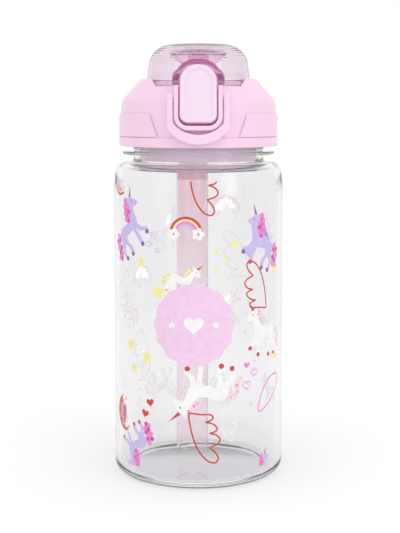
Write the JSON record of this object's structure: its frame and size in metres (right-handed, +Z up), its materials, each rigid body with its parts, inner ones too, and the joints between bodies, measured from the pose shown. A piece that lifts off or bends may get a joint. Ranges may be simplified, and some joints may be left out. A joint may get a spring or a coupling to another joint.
{
  "type": "kids water bottle",
  "caption": "Clear cylindrical drinking bottle with a screw lid, push-button flip-up dome cover over a straw spout, and a swinging safety ring.",
  "frame": {"origin": "the centre of the round resting face, on the bottle's own axis", "axes": "+Z up along the bottle, -Y is the front with the push button, +X is to the right seen from the front"},
  "size_m": [0.075, 0.0766, 0.1886],
  "materials": {
    "clear_body": "clear moulded plastic",
    "pink_shell": "satin moulded plastic",
    "pale_pink": "satin moulded plastic",
    "dome_plastic": "tinted clear moulded plastic",
    "soft_spout": "satin silicone",
    "straw_plastic": "clear moulded plastic",
    "white_silicone": "matt silicone",
    "white_plastic": "moulded plastic",
    "steel": "drawn wire"
  },
  "bodies": {
    "bottle": {"bottle_body": "clear_body"},
    "neck_seal": {"neck_gasket": "white_silicone"},
    "plug_seal": {"plug_ring_seal": "white_silicone"},
    "lid": {"lid_shell": "pink_shell", "grip_pads": "pink_shell", "inner_cap": "pale_pink", "vent_valve": "white_silicone", "front_bezel": "pink_shell", "button_spring": "steel", "hinge_pin": "steel", "hinge_spring": "steel", "spout": "soft_spout", "straw_sleeve": "soft_spout", "straw": "straw_plastic"},
    "dome": {"dome_cover": "dome_plastic", "spout_plug": "dome_plastic"},
    "button": {"push_button": "pale_pink", "latch_hook": "white_plastic"},
    "ring": {"lock_ring": "pale_pink", "lock_ring_pins": "steel"}
  },
  "joints": [
    {"name": "lid_lift", "type": "slide", "parent": "bottle", "child": "neck_seal", "axis": [0, 0, 1], "range_m": [0, 0.155]},
    {"name": "lid_rise", "type": "slide", "parent": "neck_seal", "child": "plug_seal", "axis": [0, 0, 1], "range_m": [0, 0.006]},
    {"name": "lid_turn", "type": "hinge", "parent": "plug_seal", "child": "lid", "pos_m": [0, 0, 0.15], "axis": [0, 0, 1], "range_deg": [0, 540]},
    {"name": "dome_hinge", "type": "hinge", "parent": "lid", "child": "dome", "pos_m": [0, 0.0258, 0.1732], "axis": [-1, 0, 0], "range_deg": [0, 125], "deforming": ["hinge_spring"]},
    {"name": "button_press", "type": "slide", "parent": "lid", "child": "button", "axis": [0, 0.9816, -0.1908], "range_m": [0, 0.0018], "stiffness_N_per_m": 400, "springref_m": -0.003, "deforming": ["button_spring"]},
    {"name": "lock_ring_swing", "type": "hinge", "parent": "lid", "child": "ring", "pos_m": [0, -0.03377, 0.16549], "axis": [-1, 0, 0], "range_deg": [0, 170]}
  ],
  "couplings": [
    {"joint": "lid_turn", "follows": "lid_rise", "rad_per_m": 1570.8}
  ]
}
